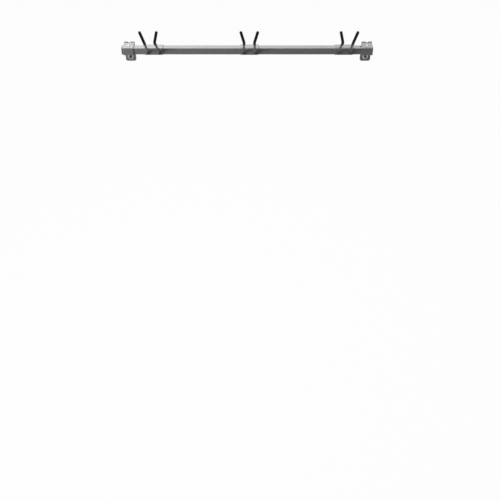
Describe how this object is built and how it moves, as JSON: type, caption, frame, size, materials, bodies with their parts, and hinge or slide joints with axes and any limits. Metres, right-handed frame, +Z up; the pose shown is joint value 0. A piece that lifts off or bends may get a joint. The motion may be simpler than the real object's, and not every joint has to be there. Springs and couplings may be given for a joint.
{
  "type": "ski wall rack",
  "caption": "Wall-mounted ski rack: a square steel tube held off the wall in two strap brackets, with sliding two-pronged hangers hooked over it whose tips are sleeved in black vinyl.",
  "frame": {"origin": "on the wall plane, level with the tube's axis, at the middle of the rack's length", "axes": "+X along the tube to the right, +Y into the wall, +Z up; the rack stands out from the wall towards -Y"},
  "size_m": [0.9144, 0.1859, 0.1764],
  "materials": {
    "grey_paint": "satin hammered grey paint",
    "dark_paint": "satin hammered dark grey paint",
    "cap_plastic": "matte dark grey",
    "zinc": "bright zinc plating",
    "dark_zinc": "dull dark zinc plating",
    "black_vinyl": "smooth, slightly glossy dipped vinyl"
  },
  "bodies": {
    "rail": {"bar_tube": "grey_paint", "end_cap_left": "cap_plastic", "end_cap_right": "cap_plastic", "wall_bracket_left": "grey_paint", "wall_bracket_right": "grey_paint", "lag_washer_left": "zinc", "lag_washer_right": "zinc", "lag_screw_left": "dark_zinc", "lag_screw_right": "dark_zinc", "top_screw_left": "zinc", "top_screw_right": "zinc"},
    "left_hanger": {"left_hanger_saddle": "grey_paint", "left_hanger_rod_left": "dark_paint", "left_hanger_rod_right": "dark_paint", "left_hanger_sleeve_left": "black_vinyl", "left_hanger_sleeve_right": "black_vinyl"},
    "middle_hanger": {"middle_hanger_saddle": "grey_paint", "middle_hanger_rod_left": "dark_paint", "middle_hanger_rod_right": "dark_paint", "middle_hanger_sleeve_left": "black_vinyl", "middle_hanger_sleeve_right": "black_vinyl"},
    "right_hanger": {"right_hanger_saddle": "grey_paint", "right_hanger_rod_left": "dark_paint", "right_hanger_rod_right": "dark_paint", "right_hanger_sleeve_left": "black_vinyl", "right_hanger_sleeve_right": "black_vinyl"}
  },
  "joints": [
    {"name": "left_hanger_slide", "type": "slide", "parent": "rail", "child": "left_hanger", "axis": [1, 0, 0], "range_m": [-0.038, 0.138]},
    {"name": "middle_hanger_slide", "type": "slide", "parent": "rail", "child": "middle_hanger", "axis": [1, 0, 0], "range_m": [-0.138, 0.136]},
    {"name": "right_hanger_slide", "type": "slide", "parent": "rail", "child": "right_hanger", "axis": [1, 0, 0], "range_m": [-0.136, 0.032]}
  ]
}
